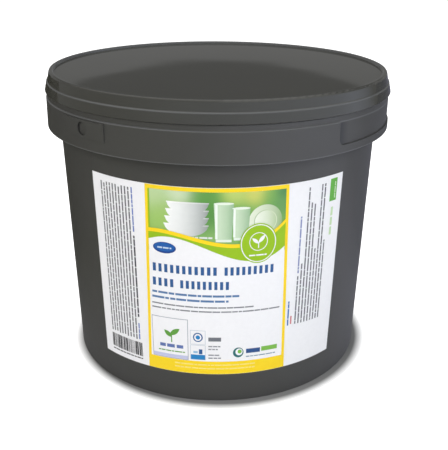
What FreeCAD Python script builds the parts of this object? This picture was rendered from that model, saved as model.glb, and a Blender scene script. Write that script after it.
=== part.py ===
import FreeCAD, Part
import math
import os

import Sketcher

# Round moulded tub with a lift-off lid, a wrapped label and pressed tablets inside.
# Millimetres. +Z is up, the origin is the centre of the footprint, and -Y is the label side.

doc = FreeCAD.newDocument("TabletTub")
sheet = doc.addObject("Spreadsheet::Sheet", "Sizes")

# Driving dimensions: alias, value, what it is
DRIVING = [
    ("bottom_radius", 101.5, "outside of the wall at the table"),
    ("wall_flare", 5.1, "how much wider the wall is at the rim"),
    ("tub_height", 193.1, "top of the rim"),
    ("wall", 1.6, "tub wall"),
    ("floor_thickness", 2.0, "tub floor"),
    ("foot_height", 1.6, "foot ring below the floor"),
    ("foot_width", 4.0, "foot ring across"),
    ("foot_round", 0.4, "outer corner of the foot"),
    ("bead_height", 4.6, "rim bead"),
    ("bead_reach", 2.3, "rim bead beyond the wall"),
    ("rim_round", 0.5, "rim top corners"),
    ("collar_drop", 13.5, "rim top down to the collar's outer top corner"),
    ("collar_height", 18.7, "collar band"),
    ("collar_reach", 7.4, "collar outside, at its lower edge, beyond the wall at the rim"),
    ("collar_lean", 0.3, "how much smaller the collar is at its top"),
    ("collar_wall", 1.8, "collar band thickness"),
    ("collar_round", 0.4, "collar top corner"),
    ("collar_step", 0.8, "ledge on the collar below the lid, across"),
    ("collar_fall", 0.5, "fall of that ledge"),
    ("collar_rise", 3.5, "collar top corner up to the flat top under the lid"),
    ("edge_round", 0.5, "small moulded edges"),
    ("rib_count", 24, "ribs under the collar"),
    ("rib_thickness", 1.4, "rib"),
    ("rib_lift", 3.0, "rib foot above the collar edge"),
    ("ear_azimuth", -43.0, "front ear about the axis from the label centre"),
    ("ear_angle", 18.0, "ear pad about the axis"),
    ("ear_proud", 0.6, "ear pad beyond the collar"),
    ("ear_edge", 0.8, "collar left above the pad"),
    ("ear_height", 10.4, "ear pad"),
    ("ear_back", 3.2, "wall behind the ear socket"),
    ("socket_radius", 4.0, "handle socket"),
    ("socket_depth", 1.4, "handle socket"),
    ("recess_angle_start", 37.5, "finger recess, first end"),
    ("recess_angle", 91.5, "finger recess about the axis"),
    ("recess_depth", 1.0, "finger recess"),
    ("recess_lip", 4.9, "collar left under the recess"),
    ("recess_round", 4.0, "lower corners at the ends of the recess"),
    ("lid_seat_gap", 0.1, "rim top to the underside of the lid"),
    ("lid_panel", 1.5, "lid panel"),
    ("land_height", 1.6, "raised edge above the panel"),
    ("land_width", 2.6, "raised edge across"),
    ("lid_wall", 1.4, "lid side wall"),
    ("lid_round", 1.4, "outer top corner of the lid"),
    ("lid_rim_gap", 0.5, "rim bead to the lid wall"),
    ("skirt_over", 0.2, "lid skirt beyond the collar"),
    ("shoulder_drop", 6.1, "lid top down to its shoulder"),
    ("shoulder_step", 0.7, "ledge between the lid's neck and its skirt, across"),
    ("shoulder_fall", 0.6, "fall of that ledge"),
    ("skirt_height", 6.2, "skirt"),
    ("skirt_flare", 1.4, "skirt wider at its foot than at its top, on the radius"),
    ("plug_gap", 0.5, "plug ring to the inside of the rim"),
    ("plug_wall", 1.3, "plug ring"),
    ("plug_depth", 5.0, "plug ring below the panel"),
    ("lug_count", 8, "snap lugs inside the skirt"),
    ("lug_angle", 12.0, "snap lug about the axis"),
    ("lug_height", 2.2, "snap lug"),
    ("label_gap", 0.05, "wall to label"),
    ("label_thickness", 0.2, "label film"),
    ("label_low", 20.4, "label lower edge"),
    ("label_tall", 125.0, "label height"),
    ("label_width", 165.0, "label measured round the wall"),
    ("tablet_long", 36.0, "tablet length"),
    ("tablet_wide", 27.0, "tablet width"),
    ("tablet_thick", 12.0, "tablet thickness"),
    ("tablet_bevel", 2.0, "tablet upright corners"),
    ("tablet_gap", 0.4, "between tablets and to the wall"),
    ("layer_gap", 0.1, "between layers"),
    ("layer_angle", 11.0, "turn of each layer on the one below"),
    ("layer_count", 8, "layers of tablets, the top one not full"),
    ("top_count", 3, "tablets in the top layer"),
]

# Sizes that follow from the driving ones, so mating pieces always move together
DERIVED = [
    ("rim_radius", "bottom_radius + wall_flare"),
    ("collar_radius", "rim_radius + collar_reach"),
    ("taper", "wall_flare / tub_height"),
    ("foot_inside", "bottom_radius - foot_width"),
    ("floor_top", "foot_height + floor_thickness"),
    ("collar_top", "tub_height - collar_drop"),
    ("collar_low", "collar_top - collar_height"),
    ("collar_crown", "collar_top + collar_rise"),
    ("web_under", "collar_crown - collar_wall"),
    ("web_low", "collar_top - collar_wall"),
    ("collar_inside", "collar_radius - collar_wall"),
    ("collar_top_radius", "collar_radius - collar_lean"),
    ("ledge_high", "collar_top + collar_fall"),
    ("crown_radius", "collar_top_radius - collar_step"),
    ("crown_inside", "crown_radius - collar_wall"),
    ("wall_at_web_under", "bottom_radius + taper * web_under"),
    ("wall_at_web_top", "bottom_radius + taper * collar_crown"),
    ("bead_low", "tub_height - bead_height"),
    ("bead_slope_top", "bead_low + bead_reach"),
    ("wall_at_bead", "bottom_radius + taper * bead_low"),
    ("bead_radius", "rim_radius + bead_reach"),
    ("rim_inside", "rim_radius - wall"),
    ("floor_inside", "bottom_radius + taper * floor_top - wall"),
    ("rib_low", "collar_low + rib_lift"),
    ("rib_in", "bottom_radius + taper * rib_low - wall / 2"),
    ("rib_out", "collar_inside + collar_wall / 4"),
    ("rib_top", "web_under + collar_wall / 4"),
    ("ear_radius", "collar_radius + ear_proud"),
    ("ear_root", "collar_radius - collar_lean - collar_wall / 2"),
    ("ear_high", "collar_top - ear_edge"),
    ("ear_low", "ear_high - ear_height"),
    ("socket_middle", "ear_low + ear_height / 2"),
    ("socket_floor", "ear_radius - socket_depth"),
    ("boss_inside", "socket_floor - ear_back"),
    ("boss_radius", "socket_radius + ear_back * 3 / 4"),
    ("boss_length", "collar_inside + edge_round - boss_inside"),
    ("recess_low", "collar_low + recess_lip"),
    ("recess_floor", "collar_radius - recess_depth"),
    ("recess_clear", "collar_radius + ear_proud"),
    ("recess_high", "collar_top + collar_wall"),
    ("recess_middle", "recess_angle_start + recess_angle / 2"),
    ("lid_under", "tub_height + lid_seat_gap"),
    ("panel_top", "lid_under + lid_panel"),
    ("lid_top", "panel_top + land_height"),
    ("neck_inside", "bead_radius + lid_rim_gap"),
    ("neck_outside", "neck_inside + lid_wall"),
    ("land_inside", "neck_outside - land_width"),
    ("land_foot", "land_inside - land_height / 3"),
    ("shoulder_high", "lid_top - shoulder_drop"),
    ("skirt_high", "shoulder_high - shoulder_fall"),
    ("skirt_low", "skirt_high - skirt_height"),
    ("skirt_outside", "collar_radius + skirt_over"),
    ("skirt_top_outside", "skirt_outside - skirt_flare"),
    ("skirt_top_inside", "skirt_top_outside - lid_wall"),
    ("neck_foot", "skirt_top_outside - shoulder_step"),
    ("neck_foot_inside", "neck_foot - lid_wall"),
    ("skirt_inside", "skirt_outside - lid_wall"),
    ("flare_in_high", "shoulder_high - lid_wall"),
    ("flare_in_low", "skirt_high - lid_wall"),
    ("plug_outside", "rim_inside - taper * plug_depth - plug_gap"),
    ("plug_inside", "plug_outside - plug_wall"),
    ("plug_low", "lid_under - plug_depth"),
    ("lug_outside", "skirt_outside - skirt_flare / 2 - lid_wall / 2"),
    ("lug_low", "skirt_low + edge_round"),
    ("lug_flat_low", "lug_low + lug_height / 4"),
    ("lug_flat_high", "lug_low + lug_height / 2"),
    ("lug_high", "lug_low + lug_height"),
    ("label_high", "label_low + label_tall"),
    ("label_in_low", "bottom_radius + taper * label_low + label_gap"),
    ("label_in_high", "bottom_radius + taper * label_high + label_gap"),
    ("label_middle", "(label_in_low + label_in_high) / 2"),
    ("label_angle", "label_width / label_middle * 180 / pi"),
    ("label_out_low", "label_in_low + label_thickness"),
    ("label_out_high", "label_in_high + label_thickness"),
]

row = 1
for alias, value, note in DRIVING:
    sheet.set(f"A{row}", note)
    sheet.set(f"B{row}", str(value))
    sheet.setAlias(f"B{row}", alias)
    row += 1
for alias, formula in DERIVED:
    sheet.set(f"A{row}", "follows from the others")
    sheet.set(f"B{row}", "=" + formula)
    sheet.setAlias(f"B{row}", alias)
    row += 1
doc.recompute()


def size(alias):
    """The value of one cell, in millimetres or degrees."""
    return float(sheet.get(alias))


def plane(body, role):
    """One of the body's own origin planes."""
    for feature in body.Origin.OriginFeatures:
        if feature.Role == role:
            return feature
    raise ValueError(role)


def new_body(label):
    body = doc.addObject("PartDesign::Body", label)
    body.Label = label
    return body


def section(body, name, corners, turn=None):
    """A closed section drawn with r to the right and z up, each corner tied to two cells.

    A corner's None means that it lies on that axis. turn is the cell or expression for the azimuth
    that the section stands at, counted from the label's middle.
    """
    sketch = body.newObject("Sketcher::SketchObject", name)
    sketch.AttachmentSupport = [(plane(body, "XZ_Plane"), "")]
    sketch.MapMode = "FlatFace"
    points = [
        FreeCAD.Vector(size(r) if r else 0.0, size(z) if z else 0.0, 0) for r, z in corners
    ]
    count = len(points)
    for i in range(count):
        sketch.addGeometry(Part.LineSegment(points[i], points[(i + 1) % count]), False)
    for i in range(count):
        sketch.addConstraint(Sketcher.Constraint("Coincident", i, 2, (i + 1) % count, 1))
    for i, (r, z) in enumerate(corners):
        if r:
            index = sketch.addConstraint(
                Sketcher.Constraint("DistanceX", -1, 1, i, 1, size(r))
            )
            sketch.setExpression(f"Constraints[{index}]", f"Sizes.{r}")
        else:
            sketch.addConstraint(Sketcher.Constraint("PointOnObject", i, 1, -2))
        if z:
            index = sketch.addConstraint(
                Sketcher.Constraint("DistanceY", -1, 1, i, 1, size(z))
            )
            sketch.setExpression(f"Constraints[{index}]", f"Sizes.{z}")
        else:
            sketch.addConstraint(Sketcher.Constraint("PointOnObject", i, 1, -1))
    if turn:
        sketch.setExpression(
            "AttachmentOffset",
            f"placement(vector(0; 0; 0); rotation(vector(0; 1; 0); {turn}))",
        )
    doc.recompute()
    return sketch


def turned(body, name, sketch, angle=None):
    """The section turned about the upright axis: the whole way, or an angle centred on it."""
    feature = body.newObject("PartDesign::Revolution", name)
    feature.Profile = sketch
    feature.ReferenceAxis = (sketch, ["V_Axis"])
    if angle:
        feature.Midplane = True
        feature.setExpression("Angle", angle)
    else:
        feature.Angle = 360
    doc.recompute()
    body.Tip = feature
    return feature


def polar(body, name, feature, count):
    """The feature repeated evenly about the upright axis."""
    pattern = body.newObject("PartDesign::PolarPattern", name)
    pattern.Originals = [feature]
    pattern.Axis = (plane(body, "Z_Axis"), [""])
    pattern.Angle = 360
    if isinstance(count, str):
        pattern.setExpression("Occurrences", count)
    else:
        pattern.Occurrences = count
    body.Tip = pattern
    doc.recompute()
    return pattern


def ring_edges(feature, rings):
    """Names of the full circles that lie at the given pairs of radius and height cells."""
    near = size("wall") / 100
    names = []
    for r, z in rings:
        radius = size(r)
        height = size(z) if z else 0.0
        for number, edge in enumerate(feature.Shape.Edges, start=1):
            box = edge.BoundBox
            level = box.ZLength < near and abs(box.ZMax - height) < near
            if level and abs(box.XMax - radius) < near:
                names.append(f"Edge{number}")
    return names


def rounded(body, name, feature, rings, radius):
    """Fillets on the ring edges of a turned feature."""
    names = ring_edges(feature, rings)
    assert len(names) == len(rings), (name, names)
    fillet = body.newObject("PartDesign::Fillet", name)
    fillet.Base = (feature, names)
    fillet.setExpression("Radius", radius)
    body.Tip = fillet
    doc.recompute()
    return fillet


# The tub: floor with a foot ring, tapered wall, collar band around its neck, and rim bead
tub = new_body("tub")
tub_section = section(
    tub,
    "tub_section",
    [
        (None, "foot_height"),
        ("foot_inside", "foot_height"),
        ("foot_inside", None),
        ("bottom_radius", None),
        ("wall_at_web_under", "web_under"),
        ("crown_inside", "web_under"),
        ("collar_inside", "web_low"),
        ("collar_inside", "collar_low"),
        ("collar_radius", "collar_low"),
        ("collar_top_radius", "collar_top"),
        ("crown_radius", "ledge_high"),
        ("crown_radius", "collar_crown"),
        ("wall_at_web_top", "collar_crown"),
        ("wall_at_bead", "bead_low"),
        ("bead_radius", "bead_slope_top"),
        ("bead_radius", "tub_height"),
        ("rim_inside", "tub_height"),
        ("floor_inside", "floor_top"),
        (None, "floor_top"),
    ],
)
shell = turned(tub, "shell", tub_section)
shell = rounded(tub, "foot_corner", shell, [("bottom_radius", None)], "Sizes.foot_round")
shell = rounded(
    tub, "collar_corner", shell, [("collar_top_radius", "collar_top")], "Sizes.collar_round"
)
shell = rounded(
    tub,
    "rim_corners",
    shell,
    [("bead_radius", "tub_height"), ("rim_inside", "tub_height")],
    "Sizes.rim_round",
)
shell = rounded(tub, "collar_edge", shell, [("collar_radius", "collar_low")], "Sizes.edge_round")

# Ribs that tie the collar band to the wall, seen from below
rib_section = section(
    tub,
    "rib_section",
    [
        ("rib_in", "rib_low"),
        ("rib_out", "rib_low"),
        ("rib_out", "rib_top"),
        ("rib_in", "rib_top"),
    ],
)
rib = tub.newObject("PartDesign::Pad", "rib")
rib.Profile = rib_section
rib.Midplane = True
rib.setExpression("Length", "Sizes.rib_thickness")
tub.Tip = rib
doc.recompute()
polar(tub, "ribs", rib, "Sizes.rib_count")

# Ear pads, one at the front left and one opposite it
ear_section = section(
    tub,
    "ear_section",
    [
        ("ear_root", "ear_low"),
        ("ear_radius", "ear_low"),
        ("ear_radius", "ear_high"),
        ("ear_root", "ear_high"),
    ],
    turn="Sizes.ear_azimuth - 90",
)
ear = turned(tub, "ear", ear_section, "Sizes.ear_angle")
polar(tub, "ears", ear, 2)


def disc(body, name, radius, reach):
    """A round sketch facing outwards at the ear's azimuth, at the height of its middle."""
    sketch = body.newObject("Sketcher::SketchObject", name)
    sketch.AttachmentSupport = [(plane(body, "XZ_Plane"), "")]
    sketch.MapMode = "FlatFace"
    middle = size("socket_middle")
    sketch.addGeometry(
        Part.Circle(FreeCAD.Vector(0, middle, 0), FreeCAD.Vector(0, 0, 1), size(radius)), False
    )
    sketch.addConstraint(Sketcher.Constraint("PointOnObject", 0, 3, -2))
    index = sketch.addConstraint(Sketcher.Constraint("DistanceY", -1, 1, 0, 3, middle))
    sketch.setExpression(f"Constraints[{index}]", "Sizes.socket_middle")
    index = sketch.addConstraint(Sketcher.Constraint("Radius", 0, size(radius)))
    sketch.setExpression(f"Constraints[{index}]", f"Sizes.{radius}")
    turn = "rotation(vector(0; 1; 0); Sizes.ear_azimuth)"
    # the support's normal is the outward way at azimuth 0, so the reach is split along two axes
    sketch.setExpression(
        "AttachmentOffset",
        f"placement(vector({reach} * sin(Sizes.ear_azimuth * 1 deg); 0; "
        f"{reach} * cos(Sizes.ear_azimuth * 1 deg)); {turn})",
    )
    doc.recompute()
    return sketch


# Boss behind each ear, which stiffens the closed floor of the socket
boss_disc = disc(tub, "boss_disc", "boss_radius", "Sizes.boss_inside")
boss = tub.newObject("PartDesign::Pad", "boss")
boss.Profile = boss_disc
boss.setExpression("Length", "Sizes.boss_length")
tub.Tip = boss
doc.recompute()
before = polar(tub, "bosses", boss, 2).Shape.Volume

socket_disc = disc(tub, "socket_disc", "socket_radius", "Sizes.socket_floor")
socket = tub.newObject("PartDesign::Pocket", "socket")
socket.Profile = socket_disc
socket.setExpression("Length", "Sizes.socket_depth + Sizes.ear_proud")
socket.Reversed = True
tub.Tip = socket
doc.recompute()
after = polar(tub, "sockets", socket, 2).Shape.Volume
print("sockets took", round(before - after, 1), "mm3")
assert before - after > math.pi * size("socket_radius") ** 2 * size("socket_depth"), "socket way"

# Long shallow finger recess under the collar's top edge, open at the top
recess_section = section(
    tub,
    "recess_section",
    [
        ("recess_floor", "recess_low"),
        ("recess_clear", "recess_low"),
        ("recess_clear", "recess_high"),
        ("recess_floor", "recess_high"),
    ],
    turn="Sizes.recess_middle - 90",
)
recess = tub.newObject("PartDesign::Groove", "recess")
recess.Profile = recess_section
recess.ReferenceAxis = (recess_section, ["V_Axis"])
recess.Midplane = True
recess.setExpression("Angle", "Sizes.recess_angle")
tub.Tip = recess
doc.recompute()
print("recess took", round(after - recess.Shape.Volume, 1), "mm3")
assert after - recess.Shape.Volume > 100, "recess way"

# Its two lower end corners are the short radial edges at its foot, and they are rounded
foot_edges = []
for number, edge in enumerate(recess.Shape.Edges, start=1):
    ends = [vertex.Point for vertex in edge.Vertexes]
    at_foot = len(ends) == 2 and all(
        abs(end.z - size("recess_low")) < size("wall") / 100 for end in ends
    )
    if at_foot and abs(edge.Length - size("recess_depth")) < size("collar_lean"):
        foot_edges.append(f"Edge{number}")
assert len(foot_edges) == 2, foot_edges
recess_ends = tub.newObject("PartDesign::Fillet", "recess_ends")
recess_ends.Base = (recess, foot_edges)
recess_ends.setExpression("Radius", "Sizes.recess_round")
tub.Tip = recess_ends
doc.recompute()

# The lid: panel, raised edge, flared skirt and plug ring in one moulding
lid = new_body("lid")
lid_section = section(
    lid,
    "lid_section",
    [
        (None, "lid_under"),
        ("plug_inside", "lid_under"),
        ("plug_inside", "plug_low"),
        ("plug_outside", "plug_low"),
        ("plug_outside", "lid_under"),
        ("neck_inside", "lid_under"),
        ("neck_foot_inside", "flare_in_high"),
        ("skirt_top_inside", "flare_in_low"),
        ("skirt_inside", "skirt_low"),
        ("skirt_outside", "skirt_low"),
        ("skirt_top_outside", "skirt_high"),
        ("neck_foot", "shoulder_high"),
        ("neck_outside", "lid_top"),
        ("land_inside", "lid_top"),
        ("land_foot", "panel_top"),
        (None, "panel_top"),
    ],
)
cap = turned(lid, "cap", lid_section)
cap = rounded(
    lid,
    "lid_edges",
    cap,
    [
        ("land_inside", "lid_top"),
        ("skirt_top_outside", "skirt_high"),
        ("skirt_outside", "skirt_low"),
    ],
    "Sizes.edge_round",
)
cap = rounded(lid, "lid_corner", cap, [("neck_outside", "lid_top")], "Sizes.lid_round")

# Snap lugs inside the skirt, which pass the rim bead on the way up
lug_section = section(
    lid,
    "lug_section",
    [
        ("lug_outside", "lug_low"),
        ("neck_inside", "lug_flat_low"),
        ("neck_inside", "lug_flat_high"),
        ("lug_outside", "lug_high"),
    ],
)
lug = turned(lid, "lug", lug_section, "Sizes.lug_angle")
polar(lid, "lugs", lug, "Sizes.lug_count")

# The label: a thin film that lies round the tapered wall
label = new_body("label")
label_section = section(
    label,
    "label_section",
    [
        ("label_in_low", "label_low"),
        ("label_out_low", "label_low"),
        ("label_out_high", "label_high"),
        ("label_in_high", "label_high"),
    ],
    turn="-90",
)
turned(label, "film", label_section, "Sizes.label_angle")

# The pressed tablets, laid flat in rings, one layer on another
tablet = new_body("one_tablet")
outline = tablet.newObject("Sketcher::SketchObject", "tablet_outline")
outline.AttachmentSupport = [(plane(tablet, "XY_Plane"), "")]
outline.MapMode = "FlatFace"
half_long = size("tablet_long") / 2
half_wide = size("tablet_wide") / 2
bevel = size("tablet_bevel")
signs = [(-1, -1), (1, -1), (1, 1), (-1, 1)]
corners = [FreeCAD.Vector(sx * half_long, sy * half_wide, 0) for sx, sy in signs]
for i in range(4):
    outline.addGeometry(Part.LineSegment(corners[i], corners[(i + 1) % 4]), False)
for i in range(4):
    outline.addConstraint(Sketcher.Constraint("Coincident", i, 2, (i + 1) % 4, 1))
    way = "Horizontal" if i % 2 == 0 else "Vertical"
    outline.addConstraint(Sketcher.Constraint(way, i))
outline.addConstraint(Sketcher.Constraint("Symmetric", 0, 1, 1, 2, -1, 1))
index = outline.addConstraint(Sketcher.Constraint("DistanceX", 0, 1, 0, 2, 2 * half_long))
outline.setExpression(f"Constraints[{index}]", "Sizes.tablet_long")
index = outline.addConstraint(Sketcher.Constraint("DistanceY", 1, 1, 1, 2, 2 * half_wide))
outline.setExpression(f"Constraints[{index}]", "Sizes.tablet_wide")
doc.recompute()
pressing = tablet.newObject("PartDesign::Pad", "pressing")
pressing.Profile = outline
pressing.setExpression("Length", "Sizes.tablet_thick")
tablet.Tip = pressing
doc.recompute()
uprights = [
    f"Edge{n}"
    for n, edge in enumerate(pressing.Shape.Edges, start=1)
    if edge.BoundBox.ZLength > size("tablet_thick") / 2
]
cut_corners = tablet.newObject("PartDesign::Chamfer", "cut_corners")
cut_corners.Base = (pressing, uprights)
cut_corners.setExpression("Size", "Sizes.tablet_bevel")
tablet.Tip = cut_corners
doc.recompute()


def ring_plan():
    """Places of the tablets in one layer: (radius, azimuth, long side radial) for each."""
    gap = size("tablet_gap")
    free = size("floor_inside") - gap
    places = []
    radial = True
    while free > 0:
        deep = 2 * half_long if radial else 2 * half_wide
        across = half_wide if radial else half_long
        if free <= across:
            break
        outer = math.sqrt(free**2 - across**2)
        inner = outer - deep
        if inner < across:
            break
        count = int(math.pi / math.atan((across + gap / 2) / inner))
        for i in range(count):
            places.append((outer - deep / 2, 360.0 * i / count, radial))
        free = inner - gap
        radial = not radial
    if free > math.hypot(half_long, half_wide):
        places.append((0.0, 0.0, True))
    return places


places = ring_plan()
step = size("tablet_thick") + size("layer_gap")
layers = []
layer_count = int(round(size("layer_count")))
for number in range(1, layer_count + 1):
    here = places
    if number == layer_count:
        here = places[-int(round(size("top_count"))) :]
    height = size("floor_top") + size("layer_gap") + step * (number - 1)
    turn = size("layer_angle") * (number - 1)
    solids = []
    for radius, azimuth, radial in here:
        spin = FreeCAD.Rotation(FreeCAD.Vector(0, 0, 1), azimuth + turn)
        own = FreeCAD.Rotation(FreeCAD.Vector(0, 0, 1), azimuth + turn + (0 if radial else 90))
        middle = spin.multVec(FreeCAD.Vector(radius, 0, 0))
        copy = cut_corners.Shape.Solids[0].copy()
        copy.Placement = FreeCAD.Placement(middle, own)
        solids.append(copy)
    layer = doc.addObject("Part::Feature", f"tablet_layer_{number}")
    layer.Label = f"tablet_layer_{number}"
    layer.Shape = Part.makeCompound(solids)
    layer.Placement = FreeCAD.Placement(FreeCAD.Vector(0, 0, height), FreeCAD.Rotation())
    layers.append(layer)
doc.recompute()
print(len(places), "tablets in a full layer,", len(layers), "layers, top at",
      round(layers[-1].Shape.BoundBox.ZMax, 1))

# Every object is sound before anything is written
for thing in doc.Objects:
    bad = [s for s in thing.State if s in ("Invalid", "Error")]
    assert not bad, (thing.Label, thing.State)
parts = [tub, lid, label] + layers
os.makedirs("parts", exist_ok=True)
for part in parts:
    shape = part.Shape
    assert not shape.isNull() and shape.isValid(), part.Label
    shape.exportStep(os.path.join("parts", part.Label + ".step"))
    box = shape.BoundBox
    print(part.Label, len(shape.Solids), "solids", round(shape.Volume / 1000, 2), "cm3",
          [round(v, 2) for v in (box.XMin, box.YMin, box.ZMin, box.XMax, box.YMax, box.ZMax)])
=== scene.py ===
# %% [markdown]
# A lidded household tub, dressed for a product picture.
# The tub and its lid are two dark mouldings, a printed label wraps round the front, and pressed
# tablets lie inside. The mouldings come from the frame and only get their materials here. The
# label and the tablets are remade, because print and worn powder edges are Blender's work.

# %% Load the frame
import math
import random

import bmesh
import bpy
from mathutils import Matrix, Vector


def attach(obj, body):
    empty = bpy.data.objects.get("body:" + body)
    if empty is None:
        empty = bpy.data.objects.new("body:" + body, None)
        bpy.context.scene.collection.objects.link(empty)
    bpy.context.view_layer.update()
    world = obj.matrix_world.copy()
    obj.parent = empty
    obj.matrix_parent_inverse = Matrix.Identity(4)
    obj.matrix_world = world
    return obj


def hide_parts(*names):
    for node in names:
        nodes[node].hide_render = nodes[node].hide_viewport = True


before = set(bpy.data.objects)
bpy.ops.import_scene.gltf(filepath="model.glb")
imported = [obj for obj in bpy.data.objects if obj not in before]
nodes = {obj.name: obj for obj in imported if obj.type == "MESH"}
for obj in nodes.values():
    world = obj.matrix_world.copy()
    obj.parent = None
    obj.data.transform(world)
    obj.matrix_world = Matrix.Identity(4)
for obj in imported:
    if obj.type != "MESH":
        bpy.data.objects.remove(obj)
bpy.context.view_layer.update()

MM = 0.001
print("frame:", sorted(nodes))

# %% [markdown]
# The wall is a plain cone, so one line gives its radius at any height. Everything that lies on
# the wall is placed by it, and the numbers are the tub's own: its foot, its flare and its height.

# %% The wall's radius
FOOT_RADIUS, WALL_FLARE, TUB_HEIGHT = 101.5, 5.1, 193.1


def wall_radius(z):
    """Outside of the wall in millimetres at a height in millimetres."""
    return FOOT_RADIUS + WALL_FLARE * z / TUB_HEIGHT


print("wall at mid label:", round(wall_radius(83), 2), "mm")

# %% [markdown]
# The camera stands where it stood for the product picture: half a metre away, a little above the
# lid and tipped down. Its axes are worked out from pitch, yaw and roll, because that keeps the
# numbers readable, and the lens is set for the longer side of the frame.

# %% Camera
PITCH_DOWN = math.radians(22.06)
YAW_RIGHT = math.radians(0.54)
ROLL = math.radians(0.40)
STANDPOINT = (0, -0.4914, 0.2795)
SENSOR, FOCAL_PIXELS, PHOTO_HEIGHT = 36, 727.4, 450
forward = Vector((
    math.sin(YAW_RIGHT) * math.cos(PITCH_DOWN),
    math.cos(YAW_RIGHT) * math.cos(PITCH_DOWN),
    -math.sin(PITCH_DOWN),
))
level_right = Vector((math.cos(YAW_RIGHT), -math.sin(YAW_RIGHT), 0))
level_down = forward.cross(level_right)
right = math.cos(ROLL) * level_right - math.sin(ROLL) * level_down
down = math.sin(ROLL) * level_right + math.cos(ROLL) * level_down
lens = bpy.data.cameras.new("product_camera")
lens.sensor_width = SENSOR
lens.lens = FOCAL_PIXELS * SENSOR / PHOTO_HEIGHT
lens.clip_start = 0.01
camera = bpy.data.objects.new("product_camera", lens)
bpy.context.scene.collection.objects.link(camera)
turn = Matrix((right, -down, -forward)).transposed().to_4x4()
camera.matrix_world = Matrix.Translation(STANDPOINT) @ turn
bpy.context.scene.camera = camera
print("lens:", round(lens.lens, 2), "mm")

# %% [markdown]
# Colours are written as they look on screen, from 0 to 255, and turned into the linear values
# that the shaders work in. That keeps each ink easy to compare with a printed swatch.

# %% Screen colours to linear


def swatch(red, green, blue):
    """A screen colour as linear red, green and blue."""
    out = []
    for level in (red, green, blue):
        level = level / 255
        out.append(level / 12.92 if level <= 0.04045 else ((level + 0.055) / 1.055) ** 2.4)
    return tuple(out)


print("dark plastic:", [round(c, 3) for c in swatch(72, 72, 70)])

# %% [markdown]
# Moulded plastic is never quite even. Its skin has a very fine grain, its gloss drifts in cloudy
# patches, and its outermost rings are painted a little paler, as painted highlights. All three are
# made once, as node groups that give out values and normals, and each plastic sets its own amounts.

# %% Node helpers


def new_group(name, inputs, outputs):
    """An empty shader group with named sockets: (name, kind, default)."""
    group = bpy.data.node_groups.new(name, "ShaderNodeTree")
    for label, kind, value in inputs:
        socket = group.interface.new_socket(name=label, in_out="INPUT", socket_type=kind)
        socket.default_value = value
    for label, kind in outputs:
        group.interface.new_socket(name=label, in_out="OUTPUT", socket_type=kind)
    start = group.nodes.new("NodeGroupInput")
    end = group.nodes.new("NodeGroupOutput")
    return group, start, end


def feed(tree, side, socket):
    """Links a socket to another one, or sets it to a plain value."""
    if isinstance(side, bpy.types.NodeSocket):
        tree.links.new(side, socket)
    else:
        socket.default_value = side


def place(tree, kind, **settings):
    """A node of the given kind, with sockets or properties set by name."""
    node = tree.nodes.new(kind)
    for key, value in settings.items():
        if key in node.inputs:
            feed(tree, value, node.inputs[key])
        else:
            setattr(node, key, value)
    return node


def place_group(tree, group, **settings):
    """A node that holds a group, with its sockets set by name."""
    node = tree.nodes.new("ShaderNodeGroup")
    node.node_tree = group
    for key, value in settings.items():
        feed(tree, value, node.inputs[key.replace("_", " ")])
    return node


def math_node(tree, operation, first, second=None):
    """One sum: each side is a socket or a plain number."""
    node = tree.nodes.new("ShaderNodeMath")
    node.operation = operation
    feed(tree, first, node.inputs[0])
    if second is not None:
        feed(tree, second, node.inputs[1])
    return node.outputs[0]


def ramp(tree, value, start, stop, low=0.0, high=1.0, kind="LINEAR"):
    """Goes from low to high while its value goes from start to stop."""
    node = place(tree, "ShaderNodeMapRange", interpolation_type=kind, Value=value)
    for name, side in (("From Min", start), ("From Max", stop), ("To Min", low), ("To Max", high)):
        feed(tree, side, node.inputs[name])
    return node.outputs["Result"]


def blend(tree, amount, first, second, kind="MIX"):
    """Mixes two colours, each a socket or linear red, green and blue."""
    node = place(tree, "ShaderNodeMix", data_type="RGBA", blend_type=kind)
    feed(tree, amount, node.inputs[0])
    for index, colour in ((6, first), (7, second)):
        feed(tree, (*colour, 1) if isinstance(colour, tuple) else colour, node.inputs[index])
    return node.outputs[2]


def noise(tree, where, **settings):
    """A noise pattern over the given coordinates."""
    return place(tree, "ShaderNodeTexNoise", Vector=where, **settings).outputs["Fac"]


def object_coords(tree):
    """Object coordinates as a vector, and the same split into X, Y and Z."""
    coords = place(tree, "ShaderNodeTexCoord").outputs["Object"]
    return coords, place(tree, "ShaderNodeSeparateXYZ", Vector=coords).outputs


def from_axis(tree, split):
    """Distance from the tub's axis."""
    flat = place(tree, "ShaderNodeCombineXYZ", X=split["X"], Y=split["Y"])
    reach = place(tree, "ShaderNodeVectorMath", operation="LENGTH")
    feed(tree, flat.outputs["Vector"], reach.inputs[0])
    return reach.outputs["Value"]


print("node helpers ready")

# %% [markdown]
# The grain group bumps the skin at two sizes: a fine texture under a millimetre and a slow swell
# of several centimetres, which is what makes the lid's reflection waver.

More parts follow.
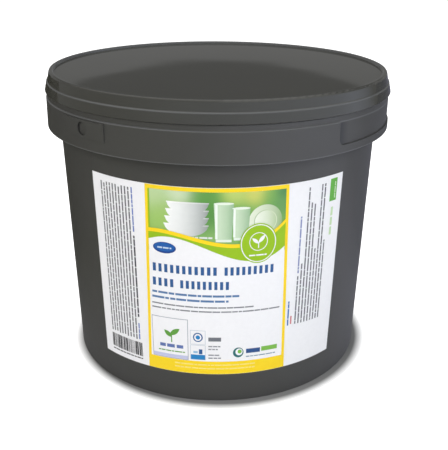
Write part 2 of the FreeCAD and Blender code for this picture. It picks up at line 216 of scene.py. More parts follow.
# %% Grain group
grain_group, start, end = new_group(
    "moulded_grain",
    [
        ("Grain Size", "NodeSocketFloat", 900.0),
        ("Grain Depth", "NodeSocketFloat", 0.05),
        ("Swell Size", "NodeSocketFloat", 18.0),
        ("Swell Depth", "NodeSocketFloat", 0.2),
    ],
    [("Normal", "NodeSocketVector"), ("Clouds", "NodeSocketFloat")],
)
coords, split = object_coords(grain_group)
wanted = start.outputs
fine = noise(grain_group, coords, Scale=wanted["Grain Size"], Detail=2.0, Roughness=0.5)
slow = noise(grain_group, coords, Scale=wanted["Swell Size"], Detail=1.0, Roughness=0.4)
swell = place(
    grain_group, "ShaderNodeBump", Distance=0.004, Height=slow, Strength=wanted["Swell Depth"]
)
skin = place(
    grain_group, "ShaderNodeBump", Distance=0.0003, Height=fine, Strength=wanted["Grain Depth"],
    Normal=swell.outputs["Normal"],
)
feed(grain_group, skin.outputs["Normal"], end.inputs["Normal"])
feed(grain_group, slow, end.inputs["Clouds"])
print("grain group:", len(grain_group.nodes), "nodes")

# %% [markdown]
# The scuff group gives a mask of faint rubs. A stretched noise makes long light scratches, and a
# second noise keeps them in patches, so that most of the skin stays clean as on a new pack.

# %% Scuff group
SCRATCH_STRETCH = (60.0, 60.0, 900.0)
scuff_group, start, end = new_group(
    "handling_scuffs", [("Reach", "NodeSocketFloat", 0.62)], [("Mask", "NodeSocketFloat")]
)
coords, split = object_coords(scuff_group)
stretch = place(scuff_group, "ShaderNodeMapping", Vector=coords, Scale=SCRATCH_STRETCH)
rubs = noise(scuff_group, stretch.outputs["Vector"], Scale=1.0, Detail=3.0)
patches = noise(scuff_group, coords, Scale=26.0, Detail=2.0)
lines = ramp(scuff_group, rubs, start.outputs["Reach"], 0.8)
spots = ramp(scuff_group, patches, 0.5, 0.72)
feed(scuff_group, math_node(scuff_group, "MULTIPLY", lines, spots), end.inputs["Mask"])
print("scuff group:", len(scuff_group.nodes), "nodes")

# %% [markdown]
# The rings that stand out furthest, the skirt's top, the collar's top and the collar's foot, are
# painted a little paler, as painted highlights, and the inner face of the lid's raised edge, which
# other tubs stand in, is painted paler in the same way. The ring group finds them all by height and
# radius.

# %% Painted highlight ring group
HIGHLIGHT_HEIGHTS = (189.6, 179.7, 161.2)
RINGS_BEYOND = 112.0
EDGE_ABOVE, EDGE_WITHIN = 194.8, 108.7
highlight_ring_group, start, end = new_group(
    "painted_highlight_rings", [("Half Width", "NodeSocketFloat", 0.0007)], [("Mask", "NodeSocketFloat")]
)
coords, split = object_coords(highlight_ring_group)
found = 0.0
for height in HIGHLIGHT_HEIGHTS:
    off = math_node(highlight_ring_group, "SUBTRACT", split["Z"], height * MM)
    off = math_node(highlight_ring_group, "ABSOLUTE", off)
    fade = ramp(highlight_ring_group, off, 0.0, start.outputs["Half Width"], 1.0, 0.0, "SMOOTHSTEP")
    found = math_node(highlight_ring_group, "MAXIMUM", fade, found)
radius = from_axis(highlight_ring_group, split)
outside = math_node(highlight_ring_group, "GREATER_THAN", radius, RINGS_BEYOND * MM)
on_rings = math_node(highlight_ring_group, "MULTIPLY", found, outside)
above_panel = math_node(highlight_ring_group, "GREATER_THAN", split["Z"], EDGE_ABOVE * MM)
inside_edge = math_node(highlight_ring_group, "LESS_THAN", radius, EDGE_WITHIN * MM)
on_edge = math_node(highlight_ring_group, "MULTIPLY", above_panel, inside_edge)
feed(highlight_ring_group, math_node(highlight_ring_group, "MAXIMUM", on_rings, on_edge), end.inputs["Mask"])
print("ring group:", len(highlight_ring_group.nodes), "nodes")

# %% [markdown]
# The two ends of the finger recess in the collar are darkened with painted shade. The group
# finds them by the angle round the tub, counted from the front towards the right.

# %% Recess painted shade group
RECESS_START, RECESS_STOP = math.radians(37.5), math.radians(129)
RECESS_LOW, RECESS_HIGH = 165.8, 179.0
RECESS_INSIDE, RECESS_OUTSIDE = 112.1, 113.6
recess_shade_group, start, end = new_group(
    "recess_painted_shade",
    [("Spread", "NodeSocketFloat", math.radians(4.5))],
    [("Mask", "NodeSocketFloat")],
)
coords, split = object_coords(recess_shade_group)
towards_front = math_node(recess_shade_group, "MULTIPLY", split["Y"], -1.0)
angle = math_node(recess_shade_group, "ARCTAN2", split["X"], towards_front)
from_end = math_node(
    recess_shade_group, "MINIMUM",
    math_node(recess_shade_group, "SUBTRACT", angle, RECESS_START),
    math_node(recess_shade_group, "SUBTRACT", RECESS_STOP, angle),
)
found = ramp(recess_shade_group, from_end, 0.0, start.outputs["Spread"], 1.0, 0.0, "SMOOTHSTEP")
radius = from_axis(recess_shade_group, split)
for measure, operation, limit in (
    (radius, "LESS_THAN", RECESS_OUTSIDE * MM),
    (radius, "GREATER_THAN", RECESS_INSIDE * MM),
    (split["Z"], "GREATER_THAN", RECESS_LOW * MM),
    (split["Z"], "LESS_THAN", RECESS_HIGH * MM),
    (from_end, "GREATER_THAN", 0.0),
):
    within = math_node(recess_shade_group, operation, measure, limit)
    found = math_node(recess_shade_group, "MULTIPLY", found, within)
feed(recess_shade_group, found, end.inputs["Mask"])
print("grime group:", len(recess_shade_group.nodes), "nodes")

# %% [markdown]
# The two mouldings are the same dark grey polypropylene. The tub has a satin wall, and the lid
# is a little shinier on top. One function makes both, so they differ only in their numbers.

# %% Plastic material


def new_material(name, **settings):
    """A node material and its Principled shader, with the shader's sockets set by name."""
    material = bpy.data.materials.new(name)
    material.use_nodes = True
    tree = material.node_tree
    shader = tree.nodes["Principled BSDF"]
    for key, value in settings.items():
        shader.inputs[key.replace("_", " ")].default_value = value
    return material, tree, shader


# Painted highlight: the pale grey laid on the outermost rings, and how much of it is mixed in.
PAINTED_HIGHLIGHT, PAINTED_HIGHLIGHT_SHARE = swatch(98, 99, 100), 0.8
# Painted shade: the dark grey laid in the ends of the finger recess, and how much of it is mixed
# in.
RECESS_SHADE, RECESS_SHADE_SHARE = swatch(34, 35, 36), 0.75
SCUFF_SHARE, CLOUD_SHARE = 0.35, 0.35
SHINIEST, DULLEST = 0.85, 1.2


def moulded_plastic(name, dark, pale, gloss, grain, swell_size, swell, specular):
    """Dark moulded plastic: cloudy tone, fine grain, slow swell, painted highlights on the rings
    and painted shade at the recess ends.
    """
    material, tree, shader = new_material(name, Specular_IOR_Level=specular)
    skin = place_group(
        tree, grain_group, Grain_Depth=grain, Swell_Size=swell_size, Swell_Depth=swell
    ).outputs
    feed(tree, skin["Normal"], shader.inputs["Normal"])
    scuffs = place_group(tree, scuff_group).outputs["Mask"]
    rings = place_group(tree, highlight_ring_group).outputs["Mask"]
    recess_shade = place_group(tree, recess_shade_group).outputs["Mask"]
    faint = math_node(tree, "MULTIPLY", scuffs, SCUFF_SHARE)
    drift = math_node(tree, "MULTIPLY", skin["Clouds"], CLOUD_SHARE)
    tone = blend(tree, math_node(tree, "ADD", faint, drift), dark, pale)
    # Painted highlights: the outermost rings are mixed towards a pale grey.
    with_highlights = blend(tree, math_node(tree, "MULTIPLY", rings, PAINTED_HIGHLIGHT_SHARE), tone, PAINTED_HIGHLIGHT)
    # Painted shade: the ends of the finger recess are mixed towards a dark grey.
    with_recess_shade = blend(tree, math_node(tree, "MULTIPLY", recess_shade, RECESS_SHADE_SHARE), with_highlights, RECESS_SHADE)
    feed(tree, with_recess_shade, shader.inputs["Base Color"])
    shine = ramp(tree, skin["Clouds"], 0.0, 1.0, gloss * SHINIEST, gloss * DULLEST)
    feed(tree, shine, shader.inputs["Roughness"])
    return material


tub_plastic = moulded_plastic(
    "tub_plastic", swatch(65, 65, 63), swatch(76, 76, 75),
    gloss=0.38, grain=0.10, swell_size=14.0, swell=0.10, specular=0.35,
)
lid_plastic = moulded_plastic(
    "lid_plastic", swatch(62, 62, 58), swatch(72, 72, 68),
    gloss=0.03, grain=0.01, swell_size=16.0, swell=0.02, specular=0.30,
)
for node, material in (("tub", tub_plastic), ("lid", lid_plastic)):
    nodes[node].data.materials.clear()
    nodes[node].data.materials.append(material)
print("plastics:", tub_plastic.name, lid_plastic.name)

# %% [markdown]
# The label is drawn flat first, in millimetres: x runs round the wall from the label's middle, z
# is the height, and each shape lies a hair in front of the one below it. Every shape carries a
# tone, a plain colour or a function that shades it. The whole print is wrapped at the end, so
# drawing it stays as simple as cutting paper.

# %% Flat print helpers
LEVEL = 0.04
print_mesh = bmesh.new()
tone_layer = print_mesh.faces.layers.int.new("tone")
ink_layer = print_mesh.loops.layers.float_color.new("ink")
tones = [swatch(242, 242, 246)]


def take_tone(verts, tone):
    """Gives every face of the new shape its tone."""
    tones.append(tone)
    for face in {f for v in verts for f in v.link_faces}:
        face[tone_layer] = len(tones) - 1


def facing(x, z, level, wide, tall):
    """Places a unit shape upright at x and z, facing outwards."""
    return (
        Matrix.Translation((x, -level * LEVEL, z))
        @ Matrix.Rotation(math.radians(90), 4, "X")
        @ Matrix.Diagonal((wide, tall, 1, 1))
    )


def bar(x0, x1, z0, z1, level, tone, across=1, up=1):
    """A rectangle of print."""
    made = bmesh.ops.create_grid(
        print_mesh, x_segments=across, y_segments=up, size=0.5,
        matrix=facing((x0 + x1) / 2, (z0 + z1) / 2, level, abs(x1 - x0), abs(z1 - z0)),
    )["verts"]
    take_tone(made, tone)
    return made


def disc(x, z, rx, rz, level, tone, sides=48):
    """A round or oval field of print."""
    made = bmesh.ops.create_circle(
        print_mesh, cap_ends=True, segments=sides, radius=1,
        matrix=facing(x, z, level, rx, rz),
    )["verts"]
    take_tone(made, tone)
    return made


def leaf(x, z, long, wide, lean, level, tone):
    """A pointed leaf: a disc whose ends are drawn out."""
    made = disc(0, 0, long / 2, wide / 2, level, tone, 24)
    for v in made:
        v.co.z *= max(0.0, 1 - (2 * v.co.x / long) ** 2) ** 0.5
    bmesh.ops.rotate(
        print_mesh, verts=made, cent=(0, 0, 0), matrix=Matrix.Rotation(lean, 3, "Y")
    )
    bmesh.ops.translate(print_mesh, verts=made, vec=(x, 0, z))
    return made


def words(start, stop, middle, tall, level, tone, seed, upright=False, longest=7.0):
    """A line of text as plain word bars, along x or, when upright, up the label."""
    chance = random.Random(seed)
    here = start
    while here < stop - tall:
        there = min(stop, here + tall * chance.uniform(1.6, longest))
        if upright:
            bar(middle - tall / 2, middle + tall / 2, here, there, level, tone)
        else:
            bar(here, there, middle - tall / 2, middle + tall / 2, level, tone)
        here = there + tall * chance.uniform(0.35, 0.6)


print("print starts with", len(tones), "tone")

# %% [markdown]
# The middle panel is a yellow frame round a white field. The frame is one yellow rectangle with
# the white field and the picture laid over it, as a printer would overprint them.

# %% Yellow frame and white field
YELLOW = swatch(252, 217, 24)
LIME = swatch(150, 192, 18)
WHITE = swatch(243, 243, 247)
DEEP_BLUE = swatch(44, 92, 150)


def splay(verts):
    """Widens a shape a little towards the foot, where the wall is narrower."""
    for v in verts:
        v.co.x *= 1 + SPLAY * (LABEL_TOP - v.co.z)


LABEL_TOP = 145.2
SPLAY = 0.00057
splay(bar(-42.9, 42.0, 20.5, LABEL_TOP, 1, YELLOW, 1, 8))
splay(bar(-41.0, 40.1, 29.8, 142.8, 2, WHITE, 1, 8))
for row, z in enumerate((27.2, 24.6)):
    words(-27.5, 24.5, z, 0.9, 2, swatch(252, 232, 130), 40 + row)
print("frame drawn")

# %% [markdown]
# The picture is a soft green garden with light coming through, quite out of focus. A grid of
# small cells is shaded by a few round blurs, each a colour that fades with distance, which is
# what a lens does to far leaves.

# %% Picture background
BLURS = [
    (-39, 141, 9, (206, 224, 178)),
    (-34, 126, 10, (168, 204, 108)),
    (-22, 143, 7, (232, 240, 214)),
    (-8, 142, 9, (84, 148, 66)),
    (-4, 126, 9, (64, 130, 58)),
    (9, 143, 6, (206, 220, 120)),
    (9, 124, 7, (92, 156, 74)),
    (22, 143, 6, (226, 218, 112)),
    (30, 141, 5, (120, 172, 84)),
    (38, 134, 7, (92, 146, 84)),
    (39, 143, 5, (44, 112, 76)),
    (0, 114, 9, (150, 192, 118)),
]


def garden(x, z):
    """Blurred leaves and light at one place of the picture."""
    total = 0.35
    mixed = [c * total for c in swatch(122, 176, 88)]
    for bx, bz, reach, colour in BLURS:
        weight = math.exp(-((x - bx) ** 2 + (z - bz) ** 2) / reach**2)
        mixed = [m + weight * c for m, c in zip(mixed, swatch(*colour))]
        total += weight
    return tuple(m / total for m in mixed)


splay(bar(-41.0, 40.1, 104, 142.8, 3, garden, 54, 26))
splay(bar(-41.0, -40.0, 108, 142.8, 4, LIME, 1, 8))
print("picture blurs:", len(BLURS))

# %% [markdown]
# In front of the garden stand three plain pieces of crockery: a pile of bowls, two tumblers and
# an upright plate. They are simple cut shapes, shaded from their lit side to their far side, so
# that they read as round.

# %% Crockery helpers


def rounded_shade(middle, half, lit, dim):
    """A tone that goes from lit on the left to dim on the right of a round thing."""
    bright, dark = swatch(*lit), swatch(*dim)

    def shade(x, z):
        across = min(1.0, max(0.0, (x - middle + half) / (2 * half)))
        amount = across**1.6
        return tuple(b + (d - b) * amount for b, d in zip(bright, dark))

    return shade


def bowl(x, z, wide, tall, level):
    """A bowl from the side: the lower half of a disc, with a rim and a foot."""
    half = wide / 2
    outside = rounded_shade(x, half, (244, 246, 246), (150, 158, 156))
    for v in disc(x, z, half, tall, level, outside):
        v.co.z = min(v.co.z, z)
    rim = rounded_shade(x, half, (252, 252, 252), (188, 194, 192))
    bar(x - half - 0.3, x + half + 0.3, z - 0.4, z + 0.4, level + 0.3, rim, 6)


def tumbler(x, z0, z1, wide, level):
    """A straight glass: pale body, bright edges and a heavy base."""
    half = wide / 2
    glass = rounded_shade(x, half, (206, 226, 198), (150, 186, 146))
    for v in bar(x - half, x + half, z0, z1, level, glass, 6):
        if v.co.z < (z0 + z1) / 2:
            v.co.x = x + (v.co.x - x) * 0.8
    bar(x - half * 0.8, x + half * 0.8, z0, z0 + 1.6, level + 0.3, swatch(226, 238, 226), 4)
    bar(x - half * 0.86, x - half * 0.62, z0 + 2, z1, level + 0.3, swatch(240, 248, 240))
    disc(x, z1, half, 0.8, level + 0.6, swatch(232, 242, 228), 28)


# %% Crockery in the picture
disc(28, 124, 10.2, 10.4, 4, rounded_shade(28, 10.2, (226, 234, 214), (150, 180, 128)))
disc(28, 124, 7.0, 7.2, 4.3, rounded_shade(28, 7.0, (176, 198, 156), (214, 226, 196)))
disc(28, 124, 6.5, 6.7, 4.6, rounded_shade(28, 6.5, (234, 240, 226), (180, 202, 158)))
tumbler(3.5, 112, 136, 11.5, 5)
tumbler(13.5, 113, 133, 10.5, 4.7)
for row in range(4):
    bowl(-18.5 + 0.4 * row, 122.2 + 4.6 * row, 26 - 0.6 * row, 7.2, 4 + 0.7 * row)
words(-34, -3, 114.6, 1.1, 4, swatch(226, 230, 228), 3, longest=12)
print("print faces so far:", len(print_mesh.faces))

# %% [markdown]
# A green swash with a yellow edge runs under the picture. Both of its edges are one long easy
# curve with four control heights, evenly spread across the panel, and the rows of a grid are
# moved on to them.

# %% Swash under the picture


def swash_height(x, heights):
    """A cubic curve over the panel's width through two ends and two pulls."""
    t = min(1.0, max(0.0, (x + 41) / 82))
    a, b, c, d = heights
    return a * (1 - t) ** 3 + 3 * b * t * (1 - t) ** 2 + 3 * c * t * t * (1 - t) + d * t**3


PICTURE_EDGE = (118.2, 121.0, 95.8, 124.6)
SWASH_FOOT = (111.2, 124.2, 82.5, 107.0)


def swash(low, high, level, tone, lift_low=0.0, lift_high=0.0):
    """A band between two curves."""
    made = bar(-41.7, 40.7, 0, 1, level, tone, 40, 1)
    for v in made:
        if v.co.z > 0.5:
            v.co.z = swash_height(v.co.x, high) + lift_high
        else:
            v.co.z = swash_height(v.co.x, low) + lift_low


swash((96, 96, 96, 96), PICTURE_EDGE, 8, WHITE, 0, -0.5)
swash(SWASH_FOOT, PICTURE_EDGE, 9, LIME, 0, -1.0)
swash(PICTURE_EDGE, PICTURE_EDGE, 10, YELLOW, -2.4, 0)
print("swash drawn")

# %% [markdown]
# A round badge sits on the swash, and a blue oval on the white below it. Both keep only plain
# shapes: rings, a leaf and a short pale bar.

# %% Badge and oval
disc(24.2, 110.4, 11.3, 12.8, 11, LIME)
disc(24.2, 110.4, 10.7, 12.1, 12, WHITE)
disc(24.2, 110.4, 10.1, 11.5, 13, LIME)
disc(24.1, 111.6, 5.6, 5.9, 14, WHITE)
disc(24.1, 111.6, 5.1, 5.4, 15, LIME)
leaf(26.0, 113.2, 6.2, 2.3, math.radians(-52), 16, WHITE)
leaf(22.2, 112.2, 5.4, 2.1, math.radians(-138), 16, WHITE)
bar(23.8, 24.4, 107.6, 111.6, 16, WHITE)
words(18.6, 29.6, 102.9, 0.9, 14, WHITE, 12)
disc(-31.8, 106.5, 7.2, 3.6, 11, swatch(10, 64, 140))
disc(-31.8, 106.9, 6.5, 2.8, 12, swatch(24, 92, 172))
words(-36.2, -27.4, 106.5, 1.0, 13, swatch(196, 214, 236), 5, longest=4)
print("badge drawn")

# %% [markdown]
# Where the pack has its title, the label keeps the rhythm of the lines and none of the letters:
# bold bars for the heading, slimmer ones for the two lines under it and hair lines for the rest.

# %% Heading and small lines


def heading(start, stop, low, high, count):
    """A word of the heading as a row of plain upright blocks, all of one width."""
    pitch = (stop - start) / count
    for i in range(count):
        left = start + pitch * (i + 0.23)
        bar(left, left + pitch * 0.54, low, high, 3, DEEP_BLUE)


heading(-40.8, 0.4, 90.2, 95.6, 11)
heading(3.4, 35.0, 90.2, 95.6, 9)
heading(-41.2, -26.1, 80.6, 86.0, 4)
heading(-23.4, 7.7, 80.6, 86.0, 9)
words(-41.0, 13.3, 76.2, 1.4, 3, swatch(84, 122, 170), 21, longest=6)
words(-41.2, 6.8, 72.7, 1.4, 3, swatch(84, 122, 170), 22, longest=6)
words(-41.5, 22.4, 68.3, 0.9, 3, swatch(128, 130, 136), 23, longest=9)
words(-41.6, 39.6, 65.4, 0.9, 3, swatch(128, 130, 136), 24, longest=9)
print("heading drawn")

# %% [markdown]
# The foot of the panel has a boxed mark, two small tiles with plain pictures of a plate and a
# cup, a short block of figures and a maker's corner. Each becomes bars, rings and leaves.

# %% Box, tiles and corner marks


def outline_box(x0, x1, z0, z1, line, level, tone):
    """A box drawn with a thin line: a filled bar with a white one on top."""
    bar(x0, x1, z0, z1, level, tone)
    bar(x0 + line, x1 - line, z0 + line, z1 - line, level + 1, WHITE)


outline_box(-42.3, -18.4, 30.0, 59.2, 0.4, 3, swatch(158, 164, 178))
bar(-41.9, -18.8, 30.4, 33.0, 5, swatch(196, 200, 232))
GRASS = swatch(96, 160, 62)
leaf(-27.2, 49.4, 8.5, 3.4, math.radians(-38), 5, GRASS)
leaf(-31.4, 47.8, 7.0, 3.0, math.radians(-138), 5, GRASS)
bar(-29.6, -28.9, 41.8, 47.4, 5, GRASS)
words(-37.2, -21.4, 39.2, 2.4, 5, swatch(96, 118, 176), 31, longest=3)
words(-38.2, -20.6, 35.4, 0.8, 5, GRASS, 32)
outline_box(-17.1, -7.4, 42.0, 52.1, 0.3, 3, swatch(190, 200, 214))
outline_box(-17.1, -7.4, 30.8, 41.6, 0.3, 3, swatch(190, 200, 214))
SKY_BLUE = swatch(30, 130, 196)
disc(-12.2, 47.2, 3.1, 3.3, 5, DEEP_BLUE)
disc(-12.2, 47.2, 2.3, 2.5, 6, WHITE)
disc(-12.2, 47.2, 1.4, 1.5, 7, SKY_BLUE)
bar(-16.8, -7.7, 31.1, 34.6, 5, SKY_BLUE)
bar(-11.6, -9.4, 35.1, 38.6, 5, DEEP_BLUE)
bar(-15.2, -12.4, 35.6, 37.2, 5, swatch(150, 190, 222))
bar(-5.6, 2.4, 44.6, 47.4, 3, swatch(112, 116, 124))
for row, (z, stop) in enumerate(((40.9, 2.0), (38.8, 0.4), (34.6, 2.2), (32.4, 2.4))):
    words(-5.6, stop, z, 0.9, 3, swatch(140, 144, 150), 50 + row, longest=4)
disc(13.4, 36.2, 3.4, 3.6, 3, swatch(34, 110, 112))
disc(13.9, 36.6, 2.3, 2.5, 4, WHITE)
disc(14.3, 36.9, 1.3, 1.4, 5, swatch(120, 186, 70))
bar(18.4, 27.6, 35.2, 38.4, 3, swatch(38, 78, 136))
bar(28.4, 39.2, 35.6, 38.8, 3, swatch(124, 186, 74))
words(18.4, 39.0, 32.8, 0.7, 3, swatch(120, 150, 170), 60)
print("foot of the panel drawn")

# %% [markdown]
# The side panels carry the small print, which runs up the label. Each column is a row of word
# bars. On the left they fill the panel above a bar code, and on the right they are of uneven
# length below a green tab.

# %% Small print on the left
SMALL_PRINT = swatch(112, 112, 118)
for column in range(10):
    middle = -75.6 + 2.34 * column
    words(38.2 + 0.35 * (column % 3), 141.2, middle, 1.0, 1, SMALL_PRINT, 100 + column, True, 9)
words(113.2, 141.4, -52.1, 0.9, 1, swatch(98, 120, 190), 120, True)
words(54.8, 110.6, -52.2, 1.1, 1, swatch(74, 74, 84), 121, True)
words(38.6, 50.4, -52.3, 0.9, 1, swatch(98, 120, 190), 122, True)
print("left columns drawn")

# %% Bar code
chance = random.Random(7)
here = -76.4
while here < -50.6:
    thick = chance.choice((0.3, 0.3, 0.6, 1.0))
    bar(here, here + thick, 26.2, 36.2, 1, swatch(30, 30, 34))
    here += thick + chance.choice((0.26, 0.3, 0.6))
words(-76.4, -50.6, 24.4, 0.9, 1, swatch(96, 96, 100), 130, longest=4)
print("bar code drawn")

# %% Small print on the right
COLUMNS = [
    (51.6, 50.4, 84.0, (112, 114, 122)),
    (51.6, 86.0, 123.4, (128, 138, 186)),
    (54.0, 50.2, 92.0, (112, 112, 120)),
    (56.4, 50.0, 141.0, (108, 108, 116)),
    (58.8, 50.0, 131.0, (112, 112, 120)),
    (61.2, 49.8, 130.0, (112, 112, 120)),
    (63.6, 49.8, 100.0, (116, 116, 124)),
    (66.0, 49.6, 141.2, (106, 106, 114)),
    (68.4, 49.6, 141.2, (90, 90, 98)),
    (70.8, 49.4, 104.0, (110, 110, 118)),
    (46.2, 50.4, 67.6, (60, 110, 176)),
    (48.4, 51.0, 58.0, (206, 112, 122)),
]
for column, (middle, low, high, colour) in enumerate(COLUMNS):
    words(low, high, middle, 1.0, 1, swatch(*colour), 200 + column, True, 9)
bar(72.6, 78.6, 128.6, 143.0, 1, swatch(94, 172, 60))
words(130.2, 141.4, 77.0, 0.8, 2, swatch(206, 230, 190), 230, True, 5)
words(106.2, 126.6, 75.6, 1.9, 1, swatch(196, 222, 178), 231, True, 3)
print("print faces:", len(print_mesh.faces), "tones:", len(tones))

# %% [markdown]
# The flat drawing is now scored every three millimetres, as card is scored before it is bent, so
# each strip is narrow enough to lie on the round wall. Colours are written on the corners of the
# faces while x and z are still flat, and then every point moves out to the wall.

# %% Score, colour and wrap the print
LABEL_LIFT = 0.25
LABEL_LOW, LABEL_HIGH, LABEL_WIDE = 20.4, 145.4, 166.9
PRINT_RADIUS = 105.0
for step in range(-27, 28):
    geometry = print_mesh.verts[:] + print_mesh.edges[:] + print_mesh.faces[:]
    bmesh.ops.bisect_plane(print_mesh, geom=geometry, plane_co=(3 * step, 0, 0), plane_no=(1, 0, 0))


def colour_faces(mesh):
    """Writes each face's tone on its corners."""
    for face in mesh.faces:
        tone = tones[face[tone_layer]]
        for corner in face.loops:
            colour = tone(corner.vert.co.x, corner.vert.co.z) if callable(tone) else tone
            corner[ink_layer] = (*colour, 1)


def wrap(verts, lift):
    """Moves flat points on to the wall. Their y is how far in front of the label they lie."""
    for v in verts:
        along, front, z = v.co
        angle = along / PRINT_RADIUS
        radius = wall_radius(z) + lift - front
        v.co = Vector((radius * math.sin(angle), -radius * math.cos(angle), z))


colour_faces(print_mesh)
wrap(print_mesh.verts, LABEL_LIFT)
print("scored faces:", len(print_mesh.faces))

# %% [markdown]
# The film itself is a sheet of the same kind: a grid wrapped on the wall and given its thickness
# towards the wall. Film and print are one piece, as on the real label, and it replaces the
# frame's plain label.

# %% Film under the print
film = bmesh.ops.create_grid(
    print_mesh, x_segments=60, y_segments=2, size=0.5,
    matrix=facing(0, (LABEL_LOW + LABEL_HIGH) / 2, 0, LABEL_WIDE, LABEL_HIGH - LABEL_LOW),
)["verts"]
film_faces = list({f for v in film for f in v.link_faces})
for face in film_faces:
    for corner in face.loops:
        corner[ink_layer] = (*tones[0], 1)
wrap(film, LABEL_LIFT - 0.01)
thick = bmesh.ops.solidify(print_mesh, geom=film_faces, thickness=0.15)["geom"]
for part in thick:
    if isinstance(part, bmesh.types.BMFace):
        for corner in part.loops:
            corner[ink_layer] = (*tones[0], 1)
bmesh.ops.scale(print_mesh, vec=(MM, MM, MM), verts=print_mesh.verts)
label_data = bpy.data.meshes.new("printed_label")
print_mesh.to_mesh(label_data)
print_mesh.free()
printed_label = bpy.data.objects.new("printed_label", label_data)
bpy.context.scene.collection.objects.link(printed_label)
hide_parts("label")
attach(printed_label, "tub_body")
print("label faces:", len(label_data.polygons))

# %% [markdown]
# Label film is smooth and slightly shiny. Its ink comes from the colours on the corners, a very
# faint mottle keeps large fields from looking flat, and a soft bump shows the film's small waves.

# %% Label material
label_film, tree, shader = new_material("label_film", Specular_IOR_Level=0.4)
ink = place(tree, "ShaderNodeAttribute", attribute_name="ink").outputs["Color"]
coords, split = object_coords(tree)
mottle = noise(tree, coords, Scale=420.0, Detail=3.0)
feed(tree, blend(tree, 0.06, ink, mottle, "MULTIPLY"), shader.inputs["Base Color"])
feed(tree, ramp(tree, mottle, 0.0, 1.0, 0.34, 0.48), shader.inputs["Roughness"])
waves = noise(tree, coords, Scale=30.0, Detail=1.0)
ripple = place(tree, "ShaderNodeBump", Strength=0.06, Distance=0.002, Height=waves)
feed(tree, ripple.outputs["Normal"], shader.inputs["Normal"])
label_data.materials.append(label_film)
print("label film ready")

# %% [markdown]
# The tablets are pressed from powder in two layers, pale below and tinted on top, with soft
# crumbly edges. Each layer of the frame's tablets is copied, its loose triangles are merged, its
# flat faces are joined again, and every edge gets a small bevel.

# %% Tablets with worn edges
LAYERS = sorted(name for name in nodes if name.startswith("tablet_layer"))
tablet_pieces = []
for name in LAYERS:
    powder = bmesh.new()
    powder.from_mesh(nodes[name].data)
    bmesh.ops.remove_doubles(powder, verts=powder.verts, dist=0.00001)
    bmesh.ops.dissolve_limit(
        powder, angle_limit=math.radians(2), verts=powder.verts, edges=powder.edges
    )
    bmesh.ops.bevel(
        powder, geom=powder.edges[:], offset=0.9 * MM, affect="EDGES", segments=2,
        profile=0.5, material=-1,
    )
    data = bpy.data.meshes.new(name.replace("tablet_layer", "pressed_tablets"))
    powder.to_mesh(data)
    powder.free()
    piece = bpy.data.objects.new(data.name, data)
    bpy.context.scene.collection.objects.link(piece)
    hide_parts(name)
    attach(piece, "tub_body")
    tablet_pieces.append(piece)
print("tablet pieces:", len(tablet_pieces), "faces each:", len(tablet_pieces[0].data.polygons))

# %% [markdown]
# One material serves every layer of tablets. The height above the tub's floor, counted again for
# each layer, tells the shader whether it is in the pale or the tinted half, and a fine speckle
# and a grainy bump make it powder.

# %% Tablet material
FLOOR_TOP, LAYER_STEP = 3.7 * MM, 12.1 * MM
PALE_SHARE, RAGGED_BY = 0.63, 0.06
tablet_powder, tree, shader = new_material(
    "tablet_powder", Roughness=0.85, Specular_IOR_Level=0.25
)
coords, split = object_coords(tree)
above = math_node(tree, "SUBTRACT", split["Z"], FLOOR_TOP)
share = math_node(tree, "FRACT", math_node(tree, "DIVIDE", above, LAYER_STEP))
edge_noise = noise(tree, coords, Scale=300.0, Detail=2.0)
ragged = math_node(tree, "ADD", share, math_node(tree, "MULTIPLY", edge_noise, RAGGED_BY))
tinted = math_node(tree, "GREATER_THAN", ragged, PALE_SHARE)
speckle = noise(tree, coords, Scale=1400.0, Detail=1.0)
dots = math_node(tree, "GREATER_THAN", speckle, 0.66)
two_tone = blend(tree, tinted, swatch(232, 234, 236), swatch(186, 213, 231))
flecks = math_node(tree, "MULTIPLY", dots, 0.6)
feed(tree, blend(tree, flecks, two_tone, swatch(112, 158, 204)), shader.inputs["Base Color"])
crumbs = place(tree, "ShaderNodeBump", Strength=0.5, Distance=0.0004, Height=speckle)
feed(tree, crumbs.outputs["Normal"], shader.inputs["Normal"])
for piece in tablet_pieces:
    piece.data.materials.append(tablet_powder)
print("tablet material ready")

# %% [markdown]
# The tub stands on a seamless pale floor, whose paper colour is darkened close round the foot as a
# painted shadow. For the camera a little light is added away from the tub, so that the floor
# reaches white there. In reflections the floor is a grey card, warmer on the left and cooler on
# the right, which is what gives the dark wall its change of tone from side to side.

# %% Floor
SHADE_MIDDLE = (0.002, -0.003, 0)
SHADE_START, PAINTED_SHADOW_CLEAR, LIGHT_CLEAR = 0.1015, 0.108, 0.111
LEFT_CARD, RIGHT_CARD = (0.2, 0.2, 0.13), (1.25, 1.26, 1.58)
floor_mesh = bmesh.new()
bmesh.ops.create_grid(floor_mesh, x_segments=2, y_segments=2, size=4)
floor_data = bpy.data.meshes.new("studio_floor")
floor_mesh.to_mesh(floor_data)
floor_mesh.free()
studio_floor = bpy.data.objects.new("studio_floor", floor_data)
bpy.context.scene.collection.objects.link(studio_floor)
studio_floor.location.z = -0.0001
floor_white, tree, shader = new_material(
    "floor_white", Roughness=0.9, Specular_IOR_Level=0.0, Emission_Color=(1, 1, 1, 1)
)
path = place(tree, "ShaderNodeLightPath").outputs
coords, split = object_coords(tree)
card = blend(tree, ramp(tree, split["X"], -0.24, 0.38), LEFT_CARD, RIGHT_CARD)
dimmed = place(tree, "ShaderNodeVectorMath", operation="SCALE")
feed(tree, card, dimmed.inputs[0])
feed(tree, ramp(tree, split["Y"], -0.15, 0.12, 1.0, 0.2), dimmed.inputs["Scale"])
aside = place(tree, "ShaderNodeVectorMath", operation="SUBTRACT")
feed(tree, coords, aside.inputs[0])
feed(tree, SHADE_MIDDLE, aside.inputs[1])
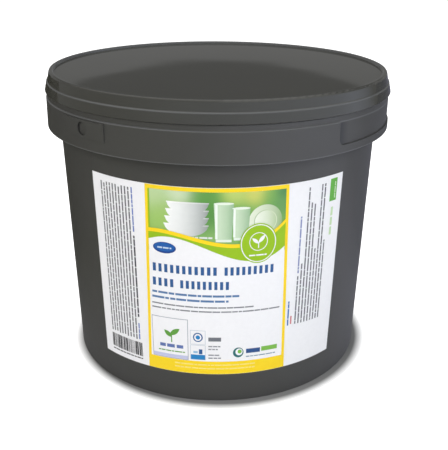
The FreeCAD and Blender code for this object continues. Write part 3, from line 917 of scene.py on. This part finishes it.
away = place(tree, "ShaderNodeVectorMath", operation="LENGTH")
feed(tree, aside.outputs["Vector"], away.inputs[0])
distance = away.outputs["Value"]
# Painted shadow: the paper's colour is darkened close round the foot.
level = ramp(tree, distance, SHADE_START, PAINTED_SHADOW_CLEAR, 0.25, 0.86)
paper_with_painted_shadow = blend(tree, path["Is Glossy Ray"], level, dimmed.outputs["Vector"])
feed(tree, paper_with_painted_shadow, shader.inputs["Base Color"])
glow = ramp(tree, distance, SHADE_START, LIGHT_CLEAR, 0.0, 0.8)
glow = math_node(tree, "MULTIPLY", path["Is Camera Ray"], glow)
feed(tree, glow, shader.inputs["Emission Strength"])
floor_data.materials.append(floor_white)
print("floor ready")

# %% [markdown]
# The world is white where the camera looks past the floor, and its light on the tub is a plain
# pale grey. Reflections see the studio instead: a grey wall with a lighter band along its foot,
# whose curved edge shows on the lid, a bright ceiling that lights up the rounded rings, and a cool
# window at the right, which fades towards the left along the lid's skirt.

# %% World
AMBIENT, WHITE_SEEN = 0.36, 1.0
COVE_START, COVE_STOP = 0.1605, 0.163
COVE_BRIGHT, COVE_DARK = 0.21, 0.095
OVERHEAD = 1.5
WINDOW, WINDOW_COLOUR = 1.3, (0.88, 0.96, 1.22, 1)
world = bpy.data.worlds.new("studio_world")
bpy.context.scene.world = world
world.use_nodes = True
tree = world.node_tree
tree.nodes.clear()


def glow_of(strength, colour=(1, 1, 1, 1)):
    """A light from all round, white unless told otherwise."""
    lit = place(tree, "ShaderNodeBackground", Color=colour, Strength=strength)
    return lit.outputs["Background"]


def join_shaders(kind, *sides):
    """A Mix or Add Shader, fed in the order of its sockets."""
    node = tree.nodes.new(kind)
    for socket, side in zip(node.inputs, sides):
        tree.links.new(side, socket)
    return node.outputs["Shader"]


path = place(tree, "ShaderNodeLightPath").outputs
coords = place(tree, "ShaderNodeTexCoord").outputs["Generated"]
split = place(tree, "ShaderNodeSeparateXYZ", Vector=coords).outputs
side_bend = math_node(tree, "MULTIPLY", split["X"], split["X"])
level = math_node(tree, "SUBTRACT", split["Z"], math_node(tree, "MULTIPLY", side_bend, 0.8))
cove = ramp(tree, level, COVE_START, COVE_STOP, COVE_BRIGHT, COVE_DARK)
overhead = ramp(tree, split["Z"], 0.45, 0.85, 0.0, OVERHEAD)
sideways = ramp(tree, split["X"], -1.0, 1.0, 0.0, WINDOW)
in_front = ramp(tree, split["Y"], 0.5, 0.1)
low_down = ramp(tree, split["Z"], 0.5, 0.18)
reach = math_node(tree, "MULTIPLY", in_front, low_down)
window = glow_of(math_node(tree, "MULTIPLY", sideways, reach), WINDOW_COLOUR)
wall_and_ceiling = glow_of(math_node(tree, "ADD", cove, overhead))
studio = join_shaders("ShaderNodeAddShader", wall_and_ceiling, window)
lit = join_shaders("ShaderNodeMixShader", path["Is Glossy Ray"], glow_of(AMBIENT), studio)
seen = math_node(tree, "MAXIMUM", path["Is Camera Ray"], path["Is Transmission Ray"])
out = place(tree, "ShaderNodeOutputWorld")
surface = join_shaders("ShaderNodeMixShader", seen, lit, glow_of(WHITE_SEEN))
tree.links.new(surface, out.inputs["Surface"])
print("world ready")

# %% [markdown]
# Two large soft boxes stand in front, a warmer one on the left and a cooler one on the right,
# and a third hangs above and behind. Large boxes give the broad soft bands that run along the
# rounded rings of lid and collar.

# %% Lamps


def soft_box(name, place_at, aim, wide, tall, power, colour):
    """A rectangular area lamp that looks at a point."""
    lamp = bpy.data.lights.new(name, "AREA")
    lamp.shape = "RECTANGLE"
    lamp.size = wide
    lamp.size_y = tall
    lamp.energy = power
    lamp.color = colour
    holder = bpy.data.objects.new(name, lamp)
    holder.location = place_at
    look = Vector(aim) - Vector(place_at)
    holder.rotation_euler = look.to_track_quat("-Z", "Y").to_euler()
    holder.visible_glossy = False
    bpy.context.scene.collection.objects.link(holder)
    return holder


soft_box("left_box", (-0.9, -1.0, 0.9), (0, 0, 0.1), 0.9, 0.9, 11.2, (1.0, 0.975, 0.93))
soft_box("right_box", (0.9, -0.9, 0.8), (0, 0, 0.1), 0.8, 0.9, 9.7, (0.93, 0.97, 1.0))
soft_box("rear_box", (-0.2, 0.9, 1.1), (0, 0, 0.15), 1.2, 0.6, 8, (1.0, 1.0, 1.0))

# %% [markdown]
# The colour view is set to Standard, so that the inks come out as they are written.

# %% Finish
bpy.context.scene.view_settings.view_transform = "Standard"
